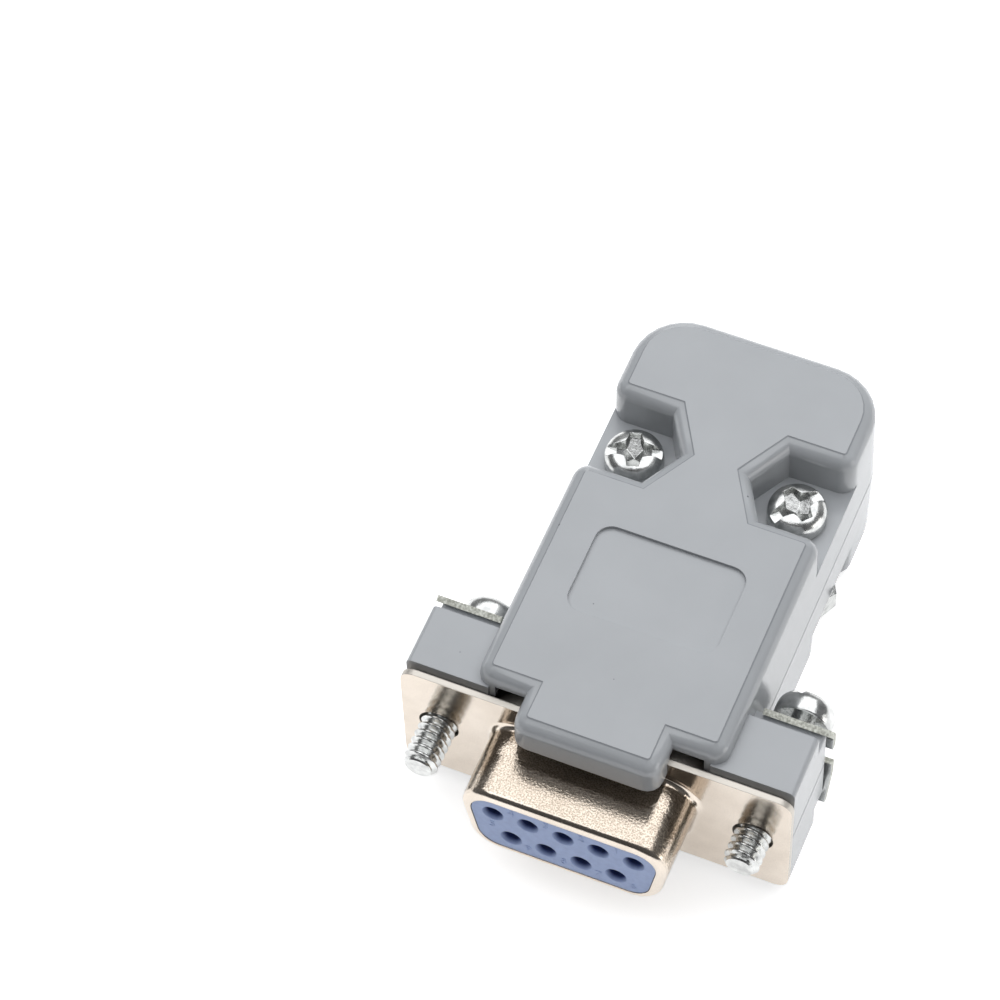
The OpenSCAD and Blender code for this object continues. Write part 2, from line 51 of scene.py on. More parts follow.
CLOSING_HEAD = 2.1      # head height of the closing screws
JACK_HEAD = 2.2         # head height of the jackscrews
CLAMP_HEAD = 1.5        # head height of the saddle screws
JACK_WAIST = 2.33       # reduced shank under a jackscrew's head
JACK_WAIST_R = 0.95
THREAD_R = 1.42         # major radius of the larger screws' threads
THREAD_PITCH = 0.635
CLAMP_R = 1.0           # major radius of the saddle screws' threads
CLAMP_PITCH = 0.4
CONTACT_PITCH = 2.77
ROW_PITCH = 2.84
PART_LINE = 0.1         # half width of the painted shade along the parting groove between the hood's halves
HAIRLINE = 0.12         # depth of the slanted hairline step under the hood's flat top, where shade is painted
HAIRLINE_FACING = 0.7   # upward share of that step's normal, and how far it may differ
HAIRLINE_SPREAD = 0.16
BORE_SHADE_START = 0.03        # depth in a contact bore where the painted shade starts, and where it is full
BORE_SHADE_FULL = 0.3
WALL_FACING = 0.1       # a shell face whose normal points forward less than this is a side wall
CUT_FACING = 0.69       # a clip face whose normal points sideways or up more than this is a cut edge
CLIP_SHEET = 0.5        # sheet of the retaining clips
CLIP_SLOT_R = 1.13      # half width of their open slots
CLIP_FLAT = 2.3         # half height of the flat web
CLIP_BOW_R = 2.2        # radius and angle of the bow above and below it, in millimetres and degrees
CLIP_BOW = 28
CLIP_ARM = 2.1          # straight end of each bowed arm
CLIP_SLOT_EDGE = 0.02   # height over which a slot opens to the full width
CLIP_STEPS = 6          # facets of the slot's round end and of the bow
BARREL_TOP = -5.1       # highest line of the slightly barrelled nose, in front of the flange
BARREL_HALF = 2.6       # reach of the barrel to each side of that line, and its fall there
BARREL_DROP = 0.11
NUMERAL_SIZE = 1.1
NUMERAL_RISE = 0.035
NUMERAL_UPPER = (-1.35, 0.95)   # a numeral's place from its hole in the wide row
NUMERAL_FIVE = (-0.1, -1.6)     # the same for hole 5, which has no room beside it
NUMERAL_LOWER = (1.37, -0.7)    # the same in the narrow row
FLOOR_GAP = 0.01        # gap that keeps the floor off the hood's flat underside
HOOD_MIDDLE = (0, 15, 0)
PHOTO_PIXELS = 1000

# Pan heads, in shares of a head's radius or height
HEAD_EDGE = ((0.95, 0.0), (0.98, 0.03), (1.0, 0.1))     # radius and height round the rim's underside
HEAD_RIM = 0.42         # height of the rim below the dome
DOME_POWER = 3.4        # how long the dome stays flat before it falls
RING_CROWDING = 0.9     # below 1 crowds the rings towards the rim
SLOT_FLOOR = 0.66       # height of the slot's floor, and half widths of its floor and mouth
SLOT_HALF, SLOT_MOUTH = 0.17, 0.2
CROSS_HALF = 0.16       # half width of a cross arm, what the middle adds, and how far that reaches
CROSS_FLARE, CROSS_FADE = 0.2, 0.36
CROSS_FLOOR, CROSS_RISE = 0.3, 0.4      # height of the cross in its middle, and its rise to the ends
CROSS_INNER, CROSS_END = 0.6, 0.66      # where an arm's end wall starts and stops
CROSS_WALL = 0.04       # width of an arm's sloping side walls
HEAD_AROUND, HEAD_RINGS = 240, 54

# Threads, in shares of a pitch
THREAD_DEPTH = 0.56
THREAD_ROOT, THREAD_FLANK = 0.05, 0.37  # half width of the root, and width of a flank
END_BEVEL = 0.42        # bevel at the end, plus a length in millimetres, and its slope
END_BEVEL_MORE, BEVEL_SLOPE = 0.1, 0.9
WAIST_SHOULDER = 0.1    # length of the step from thread to waist, in millimetres
SHANK_AROUND, SHANK_PER_TURN = 72, 14


def srgb(code):
    """Linear colour of an sRGB hex value."""
    parts = [int(code[i:i + 2], 16) / 255 for i in (1, 3, 5)]
    return [c / 12.92 if c <= 0.04045 else ((c + 0.055) / 1.055) ** 2.4 for c in parts] + [1.0]


def per_mm(size):
    """Texture scale whose features are this many millimetres across."""
    return 1.0 / (size * MM)


def add(tree, kind, settings=None, links=None):
    """Adds a node. Settings name its properties, its inputs or a ramp's stops; links feed its inputs."""
    node = tree.nodes.new(kind)
    for key, value in (settings or {}).items():
        if key == "stops":
            cells = node.color_ramp.elements
            while len(cells) < len(value):
                cells.new(0.5)
            for cell, (at, code) in zip(cells, value):
                cell.position = at
                cell.color = srgb(code)
        elif isinstance(key, str) and hasattr(node, key):
            setattr(node, key, value)
        else:
            node.inputs[key].default_value = value
    for key, socket in (links or {}).items():
        tree.links.new(socket, node.inputs[key])
    return node


def begin(name):
    """An empty node material: the material, its tree and its object coordinates."""
    material = bpy.data.materials.new(name)
    material.use_nodes = True
    tree = material.node_tree
    tree.nodes.clear()
    return material, tree, add(tree, "ShaderNodeTexCoord").outputs["Object"]


# Materials

def moulded_abs(top):
    """Grey ABS, injection moulded: a low gloss that pales at grazing angles, faint flow clouds and rare
    dark specks in the melt, with painted shade on the slanted step under the flat top and along the parting
    line between the halves."""
    material, tree, place = begin("grey_abs_satin")
    flow = add(tree, "ShaderNodeTexNoise", {"Scale": per_mm(7), "Detail": 4.0}, {"Vector": place})
    tone = add(tree, "ShaderNodeValToRGB", {"stops": [(0.3, "#A4A7AA"), (0.7, "#AAADB0")]},
               {"Fac": flow.outputs["Fac"]})
    cells = add(tree, "ShaderNodeTexVoronoi", {"Scale": per_mm(3.2)}, {"Vector": place})
    specks = add(tree, "ShaderNodeValToRGB",
                 {"stops": [(0.0, "#8A8C8E"), (0.02, "#A8AAAC"), (0.03, "#FFFFFF")]},
                 {"Fac": cells.outputs["Distance"]})
    shape = add(tree, "ShaderNodeNewGeometry")
    facing = add(tree, "ShaderNodeSeparateXYZ", None, {"Vector": shape.outputs["True Normal"]})
    spot = add(tree, "ShaderNodeSeparateXYZ", None, {"Vector": place})
    level = add(tree, "ShaderNodeMath", {"operation": "ABSOLUTE"}, {0: spot.outputs["Z"]})
    tilt = add(tree, "ShaderNodeMath", {"operation": "ABSOLUTE"}, {0: facing.outputs["Z"]})
    # painted shade: the narrow slanted step just under the flat top is darkened into a thin line
    slanted = add(tree, "ShaderNodeMath", {"operation": "COMPARE", 1: HAIRLINE_FACING, 2: HAIRLINE_SPREAD},
                  {0: tilt.outputs[0]})
    under_top = add(tree, "ShaderNodeMath", {"operation": "GREATER_THAN", 1: top - HAIRLINE * MM},
                    {0: level.outputs[0]})
    step_shade_mask = add(tree, "ShaderNodeMath", {"operation": "MULTIPLY"},
                   {0: slanted.outputs[0], 1: under_top.outputs[0]})
    # this ramp paints the shade onto that step, down to #DFE0E1
    thin = add(tree, "ShaderNodeValToRGB", {"stops": [(0.0, "#FFFFFF"), (1.0, "#DFE0E1")]},
               {"Fac": step_shade_mask.outputs[0]})
    # painted shade: a band close to the parting plane is darkened towards #8F9192 for the shade in the groove
    # between the halves
    parting_shade_mask = add(tree, "ShaderNodeMapRange", {"From Min": 0.4 * PART_LINE * MM, "From Max": PART_LINE * MM,
                                              "To Min": 1.0, "To Max": 0.0}, {"Value": level.outputs[0]})
    deep = add(tree, "ShaderNodeValToRGB", {"stops": [(0.0, "#FFFFFF"), (1.0, "#8F9192")]},
               {"Fac": parting_shade_mask.outputs["Result"]})
    speckled = add(tree, "ShaderNodeMix", {"data_type": "RGBA", "blend_type": "MULTIPLY", "Factor": 1.0},
                   {6: tone.outputs["Color"], 7: specks.outputs["Color"]})
    lined = add(tree, "ShaderNodeMix", {"data_type": "RGBA", "blend_type": "MULTIPLY", "Factor": 1.0},
                {6: speckled.outputs[2], 7: thin.outputs["Color"]})
    colour = add(tree, "ShaderNodeMix", {"data_type": "RGBA", "blend_type": "MULTIPLY", "Factor": 1.0},
                 {6: lined.outputs[2], 7: deep.outputs["Color"]})
    grain = add(tree, "ShaderNodeTexNoise", {"Scale": per_mm(0.22), "Detail": 2.0}, {"Vector": place})
    edge = add(tree, "ShaderNodeBevel", {"samples": 6, "Radius": 0.04 * MM})
    relief = add(tree, "ShaderNodeBump", {"Strength": 0.4, "Distance": 0.003 * MM},
                 {"Height": grain.outputs["Fac"], "Normal": edge.outputs["Normal"]})
    gloss = add(tree, "ShaderNodeMapRange", {"To Min": 0.16, "To Max": 0.22},
                {"Value": flow.outputs["Fac"]})
    shader = add(tree, "ShaderNodeBsdfPrincipled", {"IOR": 1.54},
                 {"Base Color": colour.outputs[2], "Roughness": gloss.outputs["Result"],
                  "Normal": relief.outputs["Normal"]})
    add(tree, "ShaderNodeOutputMaterial", None, {"Surface": shader.outputs[0]})
    return material


def nickel_plate():
    """Nickel-plated steel, deep drawn: warm bright metal whose fine orange-peel tooth breaks up
    every reflection, with draw streaks along the nose and dull sheared edges round the flange."""
    material, tree, place = begin("nickel_plate_drawn")
    drawn = add(tree, "ShaderNodeMapping", {"Scale": (1.0, 0.12, 1.0)}, {"Vector": place})
    streaks = add(tree, "ShaderNodeTexNoise", {"Scale": per_mm(0.3), "Detail": 3.0},
                  {"Vector": drawn.outputs["Vector"]})
    tooth = add(tree, "ShaderNodeTexNoise", {"Scale": per_mm(0.2), "Detail": 2.0, "Roughness": 0.6},
                {"Vector": place})
    cloud = add(tree, "ShaderNodeTexNoise", {"Scale": per_mm(3.5), "Detail": 3.0}, {"Vector": place})
    both = add(tree, "ShaderNodeMix", {"Factor": 0.3}, {2: tooth.outputs["Fac"], 3: streaks.outputs["Fac"]})
    plate = add(tree, "ShaderNodeValToRGB", {"stops": [(0.3, "#D2C7BA"), (0.7, "#E0D6CA")]},
                {"Fac": cloud.outputs["Fac"]})
    # the stretched walls of the nose are coarse and pitted, and the die kept flange and lip smooth
    shape = add(tree, "ShaderNodeNewGeometry")
    facing = add(tree, "ShaderNodeSeparateXYZ", None, {"Vector": shape.outputs["True Normal"]})
    ahead = add(tree, "ShaderNodeMath", {"operation": "ABSOLUTE"}, {0: facing.outputs["Y"]})
    stretch = add(tree, "ShaderNodeMapRange", {"From Min": WALL_FACING, "From Max": 0.6,
                                               "To Min": 1.0, "To Max": 0.15},
                  {"Value": ahead.outputs[0]})
    grit = add(tree, "ShaderNodeTexNoise", {"Scale": per_mm(0.12), "Detail": 1.0}, {"Vector": place})
    pits = add(tree, "ShaderNodeValToRGB", {"stops": [(0.36, "#B9B3AC"), (0.62, "#EFECE8")]},
               {"Fac": grit.outputs["Fac"]})
    pitted = add(tree, "ShaderNodeMix", {"data_type": "RGBA", "blend_type": "MULTIPLY"},
                 {0: stretch.outputs["Result"], 6: plate.outputs["Color"], 7: pits.outputs["Color"]})
    # the shear left the flange's thin outer edges dull and greyer
    spot = add(tree, "ShaderNodeSeparateXYZ", None, {"Vector": place})
    thin = add(tree, "ShaderNodeMath", {"operation": "LESS_THAN", 1: WALL_FACING}, {0: ahead.outputs[0]})
    level = add(tree, "ShaderNodeMath", {"operation": "GREATER_THAN", 1: 0.0}, {0: spot.outputs["Y"]})
    cut = add(tree, "ShaderNodeMath", {"operation": "MULTIPLY"}, {0: thin.outputs[0], 1: level.outputs[0]})
    colour = add(tree, "ShaderNodeMix", {"data_type": "RGBA", 7: srgb("#C6C1B9")},
                 {0: cut.outputs[0], 6: pitted.outputs[2]})
    # a slight barrel, highest just behind the lip, as fitted to the reflection in the photograph
    along = add(tree, "ShaderNodeMapRange", {"From Min": (BARREL_TOP - BARREL_HALF) * MM,
                                             "From Max": (BARREL_TOP + BARREL_HALF) * MM, "To Min": -1.0},
                {"Value": spot.outputs["Y"]})
    fall = add(tree, "ShaderNodeMath", {"operation": "MULTIPLY"},
               {0: along.outputs["Result"], 1: along.outputs["Result"]})
    edge = add(tree, "ShaderNodeBevel", {"samples": 6, "Radius": 0.1 * MM})
    barrel = add(tree, "ShaderNodeBump", {"Distance": BARREL_DROP * MM, "invert": True},
                 {"Height": fall.outputs[0], "Normal": edge.outputs["Normal"]})
    relief = add(tree, "ShaderNodeBump", {"Distance": 0.026 * MM},
                 {"Strength": stretch.outputs["Result"], "Height": both.outputs[0],
                  "Normal": barrel.outputs["Normal"]})
    smooth = add(tree, "ShaderNodeMapRange", {"To Min": 0.12, "To Max": 0.17},
                 {"Value": cloud.outputs["Fac"]})
    gloss = add(tree, "ShaderNodeMix", {3: 0.5}, {0: cut.outputs[0], 2: smooth.outputs["Result"]})
    shader = add(tree, "ShaderNodeBsdfPrincipled", {"Metallic": 1.0},
                 {"Base Color": colour.outputs[2], "Roughness": gloss.outputs[0],
                  "Normal": relief.outputs["Normal"]})
    add(tree, "ShaderNodeOutputMaterial", None, {"Surface": shader.outputs[0]})
    return material


def filled_polyester(face):
    """Blue glass-filled polyester, moulded: dull sheen and a faint mottle where fibres bloom on the face,
    and painted shade that darkens the contact bores with depth."""
    material, tree, place = begin("blue_polyester_filled")
    mottle = add(tree, "ShaderNodeTexNoise", {"Scale": per_mm(0.5), "Detail": 4.0}, {"Vector": place})
    fibre = mottle.outputs["Fac"]
    bloom = add(tree, "ShaderNodeValToRGB", {"stops": [(0.3, "#A4B7E2"), (0.7, "#B0C3EC")]}, {"Fac": fibre})
    # painted shade: a dark blue that takes over deeper behind the face, darkening the contact bores
    bore_shade = add(tree, "ShaderNodeValToRGB", {"stops": [(0.3, "#35477F"), (0.7, "#3D5089")]}, {"Fac": fibre})
    spot = add(tree, "ShaderNodeSeparateXYZ", None, {"Vector": place})
    depth = add(tree, "ShaderNodeMapRange", {"From Min": face + BORE_SHADE_START * MM,
                                             "From Max": face + BORE_SHADE_FULL * MM},
                {"Value": spot.outputs["Y"]})
    tone = add(tree, "ShaderNodeMix", {"data_type": "RGBA"},
               {0: depth.outputs["Result"], 6: bloom.outputs["Color"], 7: bore_shade.outputs["Color"]})
    edge = add(tree, "ShaderNodeBevel", {"samples": 6, "Radius": 0.04 * MM})
    relief = add(tree, "ShaderNodeBump", {"Strength": 0.4, "Distance": 0.004 * MM},
                 {"Height": fibre, "Normal": edge.outputs["Normal"]})
    gloss = add(tree, "ShaderNodeMapRange", {"To Min": 0.42, "To Max": 0.54}, {"Value": fibre})
    shader = add(tree, "ShaderNodeBsdfPrincipled", {"IOR": 1.55, "Specular IOR Level": 0.45},
                 {"Base Color": tone.outputs[2], "Roughness": gloss.outputs["Result"],
                  "Normal": relief.outputs["Normal"]})
    add(tree, "ShaderNodeOutputMaterial", None, {"Surface": shader.outputs[0]})
    return material


def zinc_plate():
    """Bright zinc on turned and rolled steel: cool white metal with small dents and smears."""
    material, tree, place = begin("zinc_plate_bright")
    clouds = add(tree, "ShaderNodeTexNoise", {"Scale": per_mm(0.8), "Detail": 3.0}, {"Vector": place})
    smear = clouds.outputs["Fac"]
    dents = add(tree, "ShaderNodeTexNoise", {"Scale": per_mm(0.3), "Detail": 3.0}, {"Vector": place})
    tone = add(tree, "ShaderNodeValToRGB", {"stops": [(0.3, "#B2B3B2"), (0.7, "#DCDDDB")]}, {"Fac": smear})
    edge = add(tree, "ShaderNodeBevel", {"samples": 6, "Radius": 0.04 * MM})
    relief = add(tree, "ShaderNodeBump", {"Strength": 0.5, "Distance": 0.026 * MM},
                 {"Height": dents.outputs["Fac"], "Normal": edge.outputs["Normal"]})
    gloss = add(tree, "ShaderNodeMapRange", {"To Min": 0.14, "To Max": 0.3}, {"Value": smear})
    shader = add(tree, "ShaderNodeBsdfPrincipled", {"Metallic": 1.0},
                 {"Base Color": tone.outputs["Color"], "Roughness": gloss.outputs["Result"],
                  "Normal": relief.outputs["Normal"]})
    add(tree, "ShaderNodeOutputMaterial", None, {"Surface": shader.outputs[0]})
    return material


def zinc_sheet():
    """Zinc-plated sheet steel, sheared and bent: bright plated faces, and dull greenish cut edges
    with a torn speckle where the shear broke through."""
    material, tree, place = begin("zinc_sheet_sheared")
    clouds = add(tree, "ShaderNodeTexNoise", {"Scale": per_mm(1.2), "Detail": 3.0}, {"Vector": place})
    smear = clouds.outputs["Fac"]
    grain = add(tree, "ShaderNodeTexNoise", {"Scale": per_mm(0.2), "Detail": 4.0}, {"Vector": place})
    torn = grain.outputs["Fac"]
    plated = add(tree, "ShaderNodeValToRGB", {"stops": [(0.3, "#CDCFCE"), (0.7, "#E3E5E4")]}, {"Fac": smear})
    broken = add(tree, "ShaderNodeValToRGB", {"stops": [(0.35, "#A2A398"), (0.65, "#E0E1D8")]}, {"Fac": torn})
    shape = add(tree, "ShaderNodeNewGeometry")
    facing = add(tree, "ShaderNodeSeparateXYZ", None, {"Vector": shape.outputs["True Normal"]})
    sideways = add(tree, "ShaderNodeMath", {"operation": "ABSOLUTE"}, {0: facing.outputs["X"]})
    upward = add(tree, "ShaderNodeMath", {"operation": "ABSOLUTE"}, {0: facing.outputs["Z"]})
    most = add(tree, "ShaderNodeMath", {"operation": "MAXIMUM"},
               {0: sideways.outputs[0], 1: upward.outputs[0]})
    cut = add(tree, "ShaderNodeMath", {"operation": "GREATER_THAN", 1: CUT_FACING}, {0: most.outputs[0]})
    colour = add(tree, "ShaderNodeMix", {"data_type": "RGBA"},
                 {0: cut.outputs[0], 6: plated.outputs["Color"], 7: broken.outputs["Color"]})
    smooth = add(tree, "ShaderNodeMapRange", {"To Min": 0.18, "To Max": 0.32}, {"Value": smear})
    gloss = add(tree, "ShaderNodeMix", {3: 0.6}, {0: cut.outputs[0], 2: smooth.outputs["Result"]})
    edge = add(tree, "ShaderNodeBevel", {"samples": 6, "Radius": 0.05 * MM})
    relief = add(tree, "ShaderNodeBump", {"Strength": 0.4, "Distance": 0.012 * MM},
                 {"Height": torn, "Normal": edge.outputs["Normal"]})
    sheen = add(tree, "ShaderNodeMapRange", {"To Min": 1.0, "To Max": 0.4}, {"Value": cut.outputs[0]})
    shader = add(tree, "ShaderNodeBsdfPrincipled", None,
                 {"Base Color": colour.outputs[2], "Roughness": gloss.outputs[0],
                  "Metallic": sheen.outputs["Result"], "Normal": relief.outputs["Normal"]})
    add(tree, "ShaderNodeOutputMaterial", None, {"Surface": shader.outputs[0]})
    return material


def gold_flash():
    """Gold flash on turned brass: warm metal, slightly worn towards the brass."""
    material, tree, place = begin("gold_flash_brass")
    clouds = add(tree, "ShaderNodeTexNoise", {"Scale": per_mm(0.7), "Detail": 3.0}, {"Vector": place})
    wear = clouds.outputs["Fac"]
    tone = add(tree, "ShaderNodeValToRGB", {"stops": [(0.3, "#C79F55"), (0.7, "#E2C27A")]}, {"Fac": wear})
    edge = add(tree, "ShaderNodeBevel", {"samples": 6, "Radius": 0.03 * MM})
    relief = add(tree, "ShaderNodeBump", {"Strength": 0.3, "Distance": 0.004 * MM},
                 {"Height": wear, "Normal": edge.outputs["Normal"]})
    gloss = add(tree, "ShaderNodeMapRange", {"To Min": 0.22, "To Max": 0.4}, {"Value": wear})
    shader = add(tree, "ShaderNodeBsdfPrincipled", {"Metallic": 1.0},
                 {"Base Color": tone.outputs["Color"], "Roughness": gloss.outputs["Result"],
                  "Normal": relief.outputs["Normal"]})
    add(tree, "ShaderNodeOutputMaterial", None, {"Surface": shader.outputs[0]})
    return material


HOOD = moulded_abs(hood_top)
NICKEL = nickel_plate()
BLUE = filled_polyester(insulator_face)
ZINC = zinc_plate()
SHEET = zinc_sheet()
GOLD = gold_flash()


# Carried-over solids

def smooth_by_angle(limit):
    """Node group that joins a solid's facets and shades them smooth below an angle in degrees."""
    group = bpy.data.node_groups.new("smooth_by_angle", "GeometryNodeTree")
    for way in ("INPUT", "OUTPUT"):
        group.interface.new_socket("Geometry", in_out=way, socket_type="NodeSocketGeometry")
    start = add(group, "NodeGroupInput")
    joined = add(group, "GeometryNodeMergeByDistance", {"Distance": 0.001 * MM},
                 {"Geometry": start.outputs[0]})
    angle = add(group, "GeometryNodeInputMeshEdgeAngle")
    soft = add(group, "FunctionNodeCompare", {"operation": "LESS_THAN", "B": math.radians(limit)},
               {"A": angle.outputs[0]})
    faces = add(group, "GeometryNodeSetShadeSmooth", {"domain": "FACE"}, {"Geometry": joined.outputs[0]})
    edges = add(group, "GeometryNodeSetShadeSmooth", {"domain": "EDGE"},
                {"Geometry": faces.outputs[0], "Shade Smooth": soft.outputs[0]})
    add(group, "NodeGroupOutput", None, {0: edges.outputs[0]})
    return group


SMOOTH = smooth_by_angle(32)


def dress(names, material):
    """Gives solids their material and smooth shading that leaves large flat faces flat."""
    for name in names:
        solid = solids[name]
        solid.data.materials.clear()
        solid.data.materials.append(material)
        solid.modifiers.new("smooth", "NODES").node_group = SMOOTH
        flat = solid.modifiers.new("flat_faces", "WEIGHTED_NORMAL")
        flat.mode = "FACE_AREA"
        flat.keep_sharp = True


dress(["upper_hood", "lower_hood"], HOOD)
dress(["front_shell", "rear_shell"], NICKEL)
dress(["front_insulator", "rear_insulator"], BLUE)
dress(["contact_%d" % i for i in range(1, 10)], GOLD)
dress(["left_nut", "right_nut", "upper_saddle", "lower_saddle"], ZINC)


# Screws with drive recesses and rolled threads

def step(low, high, x):
    """Smooth rise from 0 below low to 1 above high."""
    t = min(max((x - low) / (high - low), 0.0), 1.0)
    return t * t * (3 - 2 * t)


def crown(u, v, radius, height):
    """Top of a pan head over its seat, with a slot along u and a cross recess with sloping floors."""
    r = math.hypot(u, v) / radius
    rim = HEAD_RIM * height
    top = rim + (height - rim) * math.sqrt(max(1 - min(r, 1.0) ** DOME_POWER, 0.0))
    slot_floor = SLOT_FLOOR * height
    slot = 1 - step(SLOT_HALF * radius, SLOT_MOUTH * radius, abs(v))
    if top > slot_floor:
        top += (slot_floor - top) * slot
    arm, along = sorted((abs(u), abs(v)))
    half = radius * (CROSS_HALF + CROSS_FLARE * math.exp(-(along / (CROSS_FADE * radius)) ** 2))
    floor = height * (CROSS_FLOOR + CROSS_RISE * along / (CROSS_END * radius))
    inside = ((1 - step(half, half + CROSS_WALL * radius, arm))
              * (1 - step(CROSS_INNER * radius, CROSS_END * radius, along)))
    return top + (min(floor, top) - top) * inside


class Loft:
    """Points and faces of a mesh that grows ring by ring."""

    def __init__(self):
        self.points = []
        self.faces = []
        self.last = None

    def ring(self, rows):
        """Adds a closed ring of points and joins it to the one before."""
        base = len(self.points)
        count = len(rows)
        self.points += rows
        if self.last is not None:
            for i in range(count):
                j = (i + 1) % count
                self.faces.append((self.last + i, self.last + j, base + j, base + i))
        self.last = base

    def cap(self, point, count, down=False):
        """Closes the last ring with a fan to one point; down turns the fan to face the other way."""
        tip = len(self.points)
        self.points.append(point)
        for i in range(count):
            j = (i + 1) % count
            pair = (self.last + i, self.last + j)
            self.faces.append((pair[::-1] if down else pair) + (tip,))


def circle(radius, z, count):
    """Points of a level circle about the axis."""
    turns = [2 * math.pi * i / count for i in range(count)]
    return [(radius * math.cos(a), radius * math.sin(a), z) for a in turns]


def head(radius, height, spin, neck_r):
    """Pan head on its seat at z 0, from under the rim up and over to the middle of the recess."""
    turn = math.radians(spin)
    form = Loft()
    for share, z in ((neck_r / radius, 0.0),) + HEAD_EDGE:
        form.ring(circle(share * radius, z * height, HEAD_AROUND))
    for k in range(HEAD_RINGS):
        r = radius * (1 - k / HEAD_RINGS) ** RING_CROWDING
        rows = []
        for x, y, _ in circle(r, 0, HEAD_AROUND):
            u = x * math.cos(turn) + y * math.sin(turn)
            v = y * math.cos(turn) - x * math.sin(turn)
            rows.append((x, y, crown(u, v, radius, height)))
        form.ring(rows)
    form.cap((0, 0, crown(0, 0, radius, height)), HEAD_AROUND)
    return form


def shank(radius, pitch, length, waist, waist_r):
    """Threaded shank from its bevelled end up to the seat, with a plain waist below the seat."""
    count = SHANK_AROUND
    depth = THREAD_DEPTH * pitch
    bevel = END_BEVEL * pitch + END_BEVEL_MORE * MM
    rows_total = int(length / pitch * SHANK_PER_TURN)
    form = Loft()
    for k in range(rows_total + 1):
        z = length * (k / rows_total - 1)
        rows = []
        for i in range(count):
            phase = (z / pitch + i / count) % 1.0
            crest = min(max((0.5 - abs(phase - 0.5) - THREAD_ROOT) / THREAD_FLANK, 0.0), 1.0)
            r = radius - depth * (1 - crest)
            r = min(r, radius - bevel + BEVEL_SLOPE * (z + length))
            if waist:
                r += (waist_r - r) * step(-waist - WAIST_SHOULDER * MM, -waist, z)
            a = 2 * math.pi * i / count
            rows.append((r * math.cos(a), r * math.sin(a), z))
        form.ring(rows)
        if k == 0:
            form.cap((0, 0, z), count, down=True)
    return form


def place_piece(name, forms, seat, material, body, replaced):
    """Joins lofted forms into one mesh, puts it on its seat and ties it to its body."""
    points, faces = [], []
    for form in forms:
        base = len(points)
        points += form.points
        faces += [tuple(base + i for i in face) for face in form.faces]
    mesh = bpy.data.meshes.new(name)
    mesh.from_pydata(points, [], faces)
    mesh.transform(seat)
    mesh.update()
    mesh.materials.append(material)
    piece = bpy.data.objects.new(name, mesh)
    bpy.context.scene.collection.objects.link(piece)
    piece.modifiers.new("smooth", "NODES").node_group = SMOOTH
    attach(piece, body)
    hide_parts(replaced)


def screw(node, body, axis, head_h, thread_r, pitch, spin, waist=0.0, waist_r=0.0):
    """Redraws a screw solid with its recess and thread; axis is 2 for upright and 1 for lying back."""
    low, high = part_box(node)
    radius = (high[0] - low[0]) / 2
    length = high[axis] - low[axis] - head_h * MM
    seat_at = [(low[i] + high[i]) / 2 for i in range(3)]
    seat_at[axis] = high[axis] - head_h * MM
    seat = Matrix.Translation(seat_at)
    if axis == 1:
        seat = seat @ Matrix.Rotation(math.radians(-90), 4, "X")
    neck_r = (waist_r or 0.9 * thread_r) * MM
    forms = [head(radius, head_h * MM, spin, neck_r),
             shank(thread_r * MM, pitch * MM, length, waist * MM, waist_r * MM)]
    place_piece(node + "_cut", forms, seat, ZINC, body, node)


screw("left_closing_screw", "hood", 2, CLOSING_HEAD, THREAD_R, THREAD_PITCH, 17)
screw("right_closing_screw", "hood", 2, CLOSING_HEAD, THREAD_R, THREAD_PITCH, 50)
for side, spin in (("left", 20), ("right", 65)):
    name = side + "_jackscrew"
    screw(name, name, 1, JACK_HEAD, THREAD_R, THREAD_PITCH, spin, JACK_WAIST, JACK_WAIST_R)
screw("left_saddle_screw", "hood", 2, CLAMP_HEAD, CLAMP_R, CLAMP_PITCH, -40)
screw("right_saddle_screw", "hood", 2, CLAMP_HEAD, CLAMP_R, CLAMP_PITCH, 40)


# Retaining clips

def clip_section(rear, screw_x, reach):
    """Upper half of a clip's outer face, from the middle up: rows of y, z, lean and outer end."""
    slot = CLIP_SLOT_R * MM
    rows = []
    for k in range(CLIP_STEPS + 1):
        a = math.radians(90 * k / CLIP_STEPS)
        rows.append((rear, slot * math.sin(a), 0.0, screw_x - slot * math.cos(a)))
    rows.append((rear, slot + CLIP_SLOT_EDGE * MM, 0.0, reach))
    bow = CLIP_BOW_R * MM
    for k in range(CLIP_STEPS + 1):
        lean = math.radians(CLIP_BOW) * k / CLIP_STEPS
        rows.append((rear - bow * (1 - math.cos(lean)), CLIP_FLAT * MM + bow * math.sin(lean), lean, reach))
    y, z, lean, _ = rows[-1]
    rows.append((y - CLIP_ARM * MM * math.sin(lean), z + CLIP_ARM * MM * math.cos(lean), lean, reach))
    return rows


def bowed_clip(node, screw_node):
    """Redraws a clip as the photograph shows it: a slotted plate whose two ends bow forward."""
    low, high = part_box(node)
    screw_low, screw_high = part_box(screw_node)
    side = 1 if high[0] > 0 else -1
    inner, reach = sorted((abs(low[0]), abs(high[0])))
    upper = clip_section(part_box("left_clip")[1][1], abs(screw_low[0] + screw_high[0]) / 2, reach)
    lower = [(y, -z, -lean, end) for y, z, lean, end in reversed(upper[1:])]
    form = Loft()
    for y, z, lean, end in lower + upper:
        front_y = y - CLIP_SHEET * MM * math.cos(lean)
        front_z = z - CLIP_SHEET * MM * math.sin(lean)
        rows = [(side * inner, y, z), (side * end, y, z),
                (side * end, front_y, front_z), (side * inner, front_y, front_z)]
        form.ring(rows if side < 0 else rows[::-1])
        middle = (side * (inner + end) / 2, (y + front_y) / 2, (z + front_z) / 2)
        if len(form.points) == len(rows):
            form.cap(middle, len(rows), down=True)
    form.cap(middle, len(rows))
    place_piece(node + "_bowed", [form], Matrix.Identity(4), SHEET, "hood", node)


bowed_clip("left_clip", "left_jackscrew")
bowed_clip("right_clip", "right_jackscrew")


# Raised contact numerals on the insulator's face

